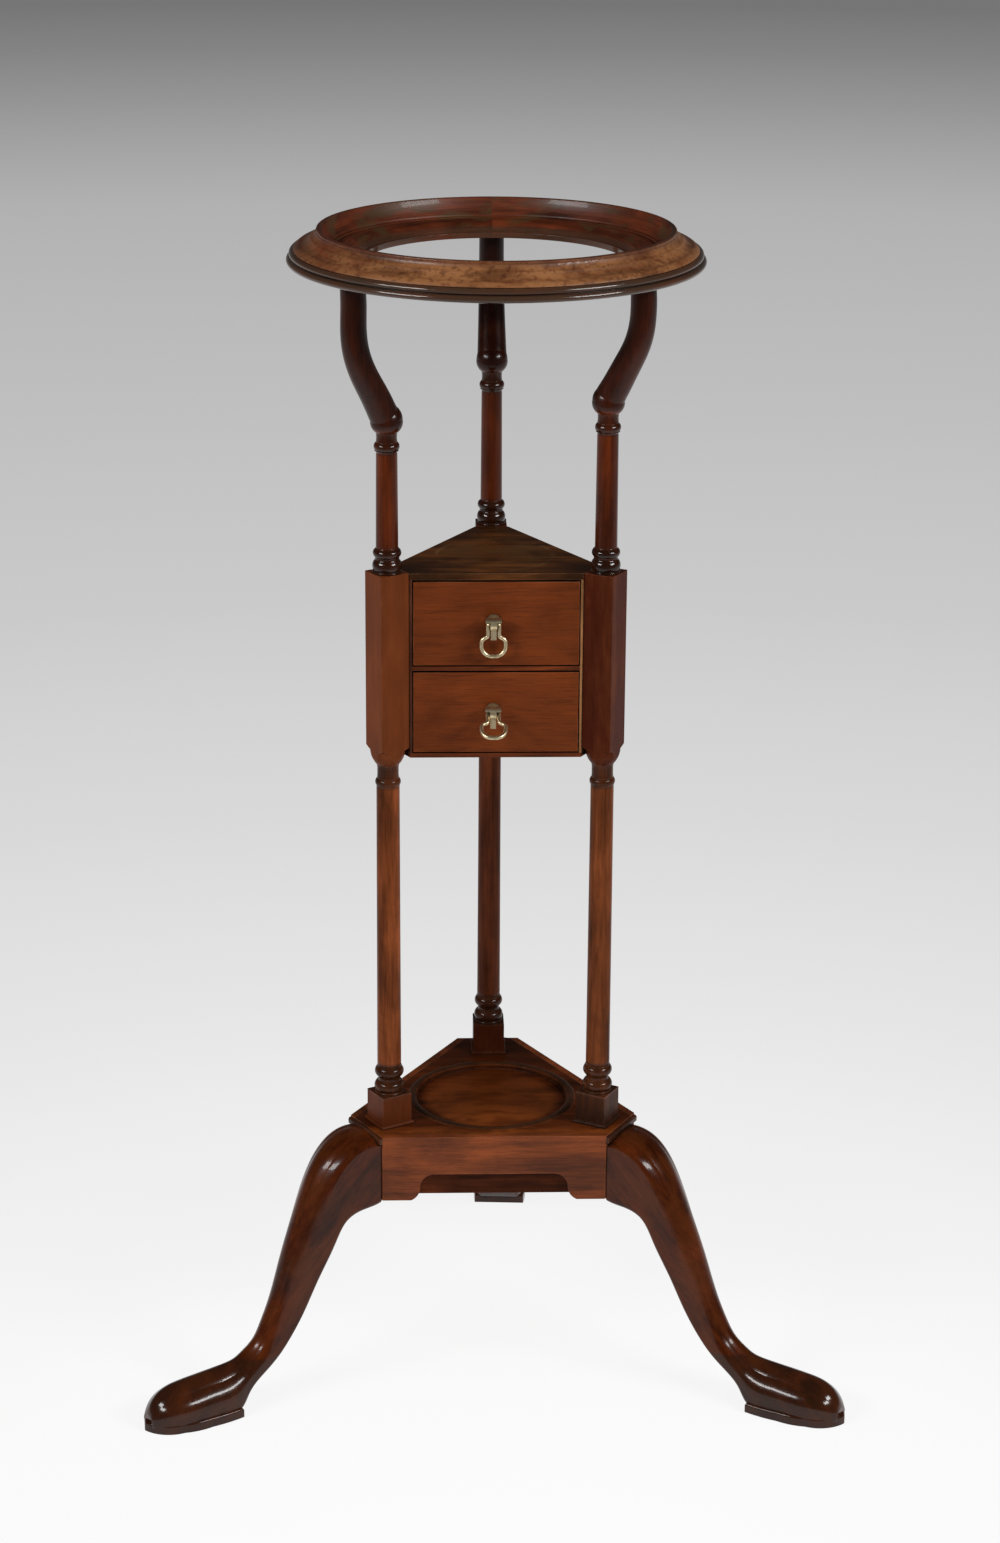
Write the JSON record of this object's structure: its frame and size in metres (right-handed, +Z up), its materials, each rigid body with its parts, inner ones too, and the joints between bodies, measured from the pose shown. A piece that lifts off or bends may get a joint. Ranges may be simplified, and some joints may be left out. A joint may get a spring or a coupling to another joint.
{
  "type": "wig stand",
  "caption": "Turned wig stand with a moulded ring top on curved arms, a small triangular drawer case, slender columns, a dished base and cabriole legs with pad feet.",
  "frame": {"origin": "On the floor plane under the middle of the stand, where the vertical axis of the ring meets the floor.", "axes": "+Z is up along the axis of the ring. -Y is the front, the way the drawers open. +X is the right-hand side seen from the front."},
  "size_m": [0.4872, 0.4264, 0.81],
  "materials": {
    "stand_wood": "dark reddish-brown mahogany, waxed, with near-black dirt in the turnings",
    "drawer_front_wood": "warm orange-brown mahogany, waxed",
    "lining_wood": "plain unfinished lining wood, a guess",
    "brass": "aged brass, dull in the hollows"
  },
  "bodies": {
    "stand": {"apron_front": "stand_wood", "apron_left": "stand_wood", "apron_right": "stand_wood", "base_core": "stand_wood", "base_top": "stand_wood", "basin_ring": "stand_wood", "case_bottom": "stand_wood", "case_side_left": "stand_wood", "case_side_right": "stand_wood", "case_stile_left": "stand_wood", "case_stile_right": "stand_wood", "case_top": "stand_wood", "corner_moulding_left": "stand_wood", "corner_moulding_rear": "stand_wood", "corner_moulding_right": "stand_wood", "drawer_divider": "stand_wood", "drawer_stops": "lining_wood", "leg_left": "stand_wood", "leg_rear": "stand_wood", "leg_right": "stand_wood", "lower_upright_left": "stand_wood", "lower_upright_rear": "stand_wood", "lower_upright_right": "stand_wood", "upper_upright_left": "stand_wood", "upper_upright_rear": "stand_wood", "upper_upright_right": "stand_wood"},
    "upper_drawer": {"upper_drawer_back": "lining_wood", "upper_drawer_bottom": "lining_wood", "upper_drawer_front": "drawer_front_wood", "upper_drawer_side_left": "lining_wood", "upper_drawer_side_right": "lining_wood", "upper_pull_post": "brass", "upper_pull_nut": "brass"},
    "upper_pull_ring": {"upper_pull_ring": "brass"},
    "lower_drawer": {"lower_drawer_back": "lining_wood", "lower_drawer_bottom": "lining_wood", "lower_drawer_front": "drawer_front_wood", "lower_drawer_side_left": "lining_wood", "lower_drawer_side_right": "lining_wood", "lower_pull_post": "brass", "lower_pull_nut": "brass"},
    "lower_pull_ring": {"lower_pull_ring": "brass"}
  },
  "joints": [
    {"name": "upper_drawer_slide", "type": "slide", "parent": "stand", "child": "upper_drawer", "axis": [0, -1, 0], "range_m": [0, 0.07]},
    {"name": "lower_drawer_slide", "type": "slide", "parent": "stand", "child": "lower_drawer", "axis": [0, -1, 0], "range_m": [0, 0.07]},
    {"name": "upper_pull_hinge", "type": "hinge", "parent": "upper_drawer", "child": "upper_pull_ring", "pos_m": [-0.002, -0.05334, 0.55445], "axis": [-1, 0, 0], "range_deg": [-12, 80]},
    {"name": "lower_pull_hinge", "type": "hinge", "parent": "lower_drawer", "child": "lower_pull_ring", "pos_m": [-0.002, -0.05334, 0.49235], "axis": [-1, 0, 0], "range_deg": [-72, 20]}
  ]
}
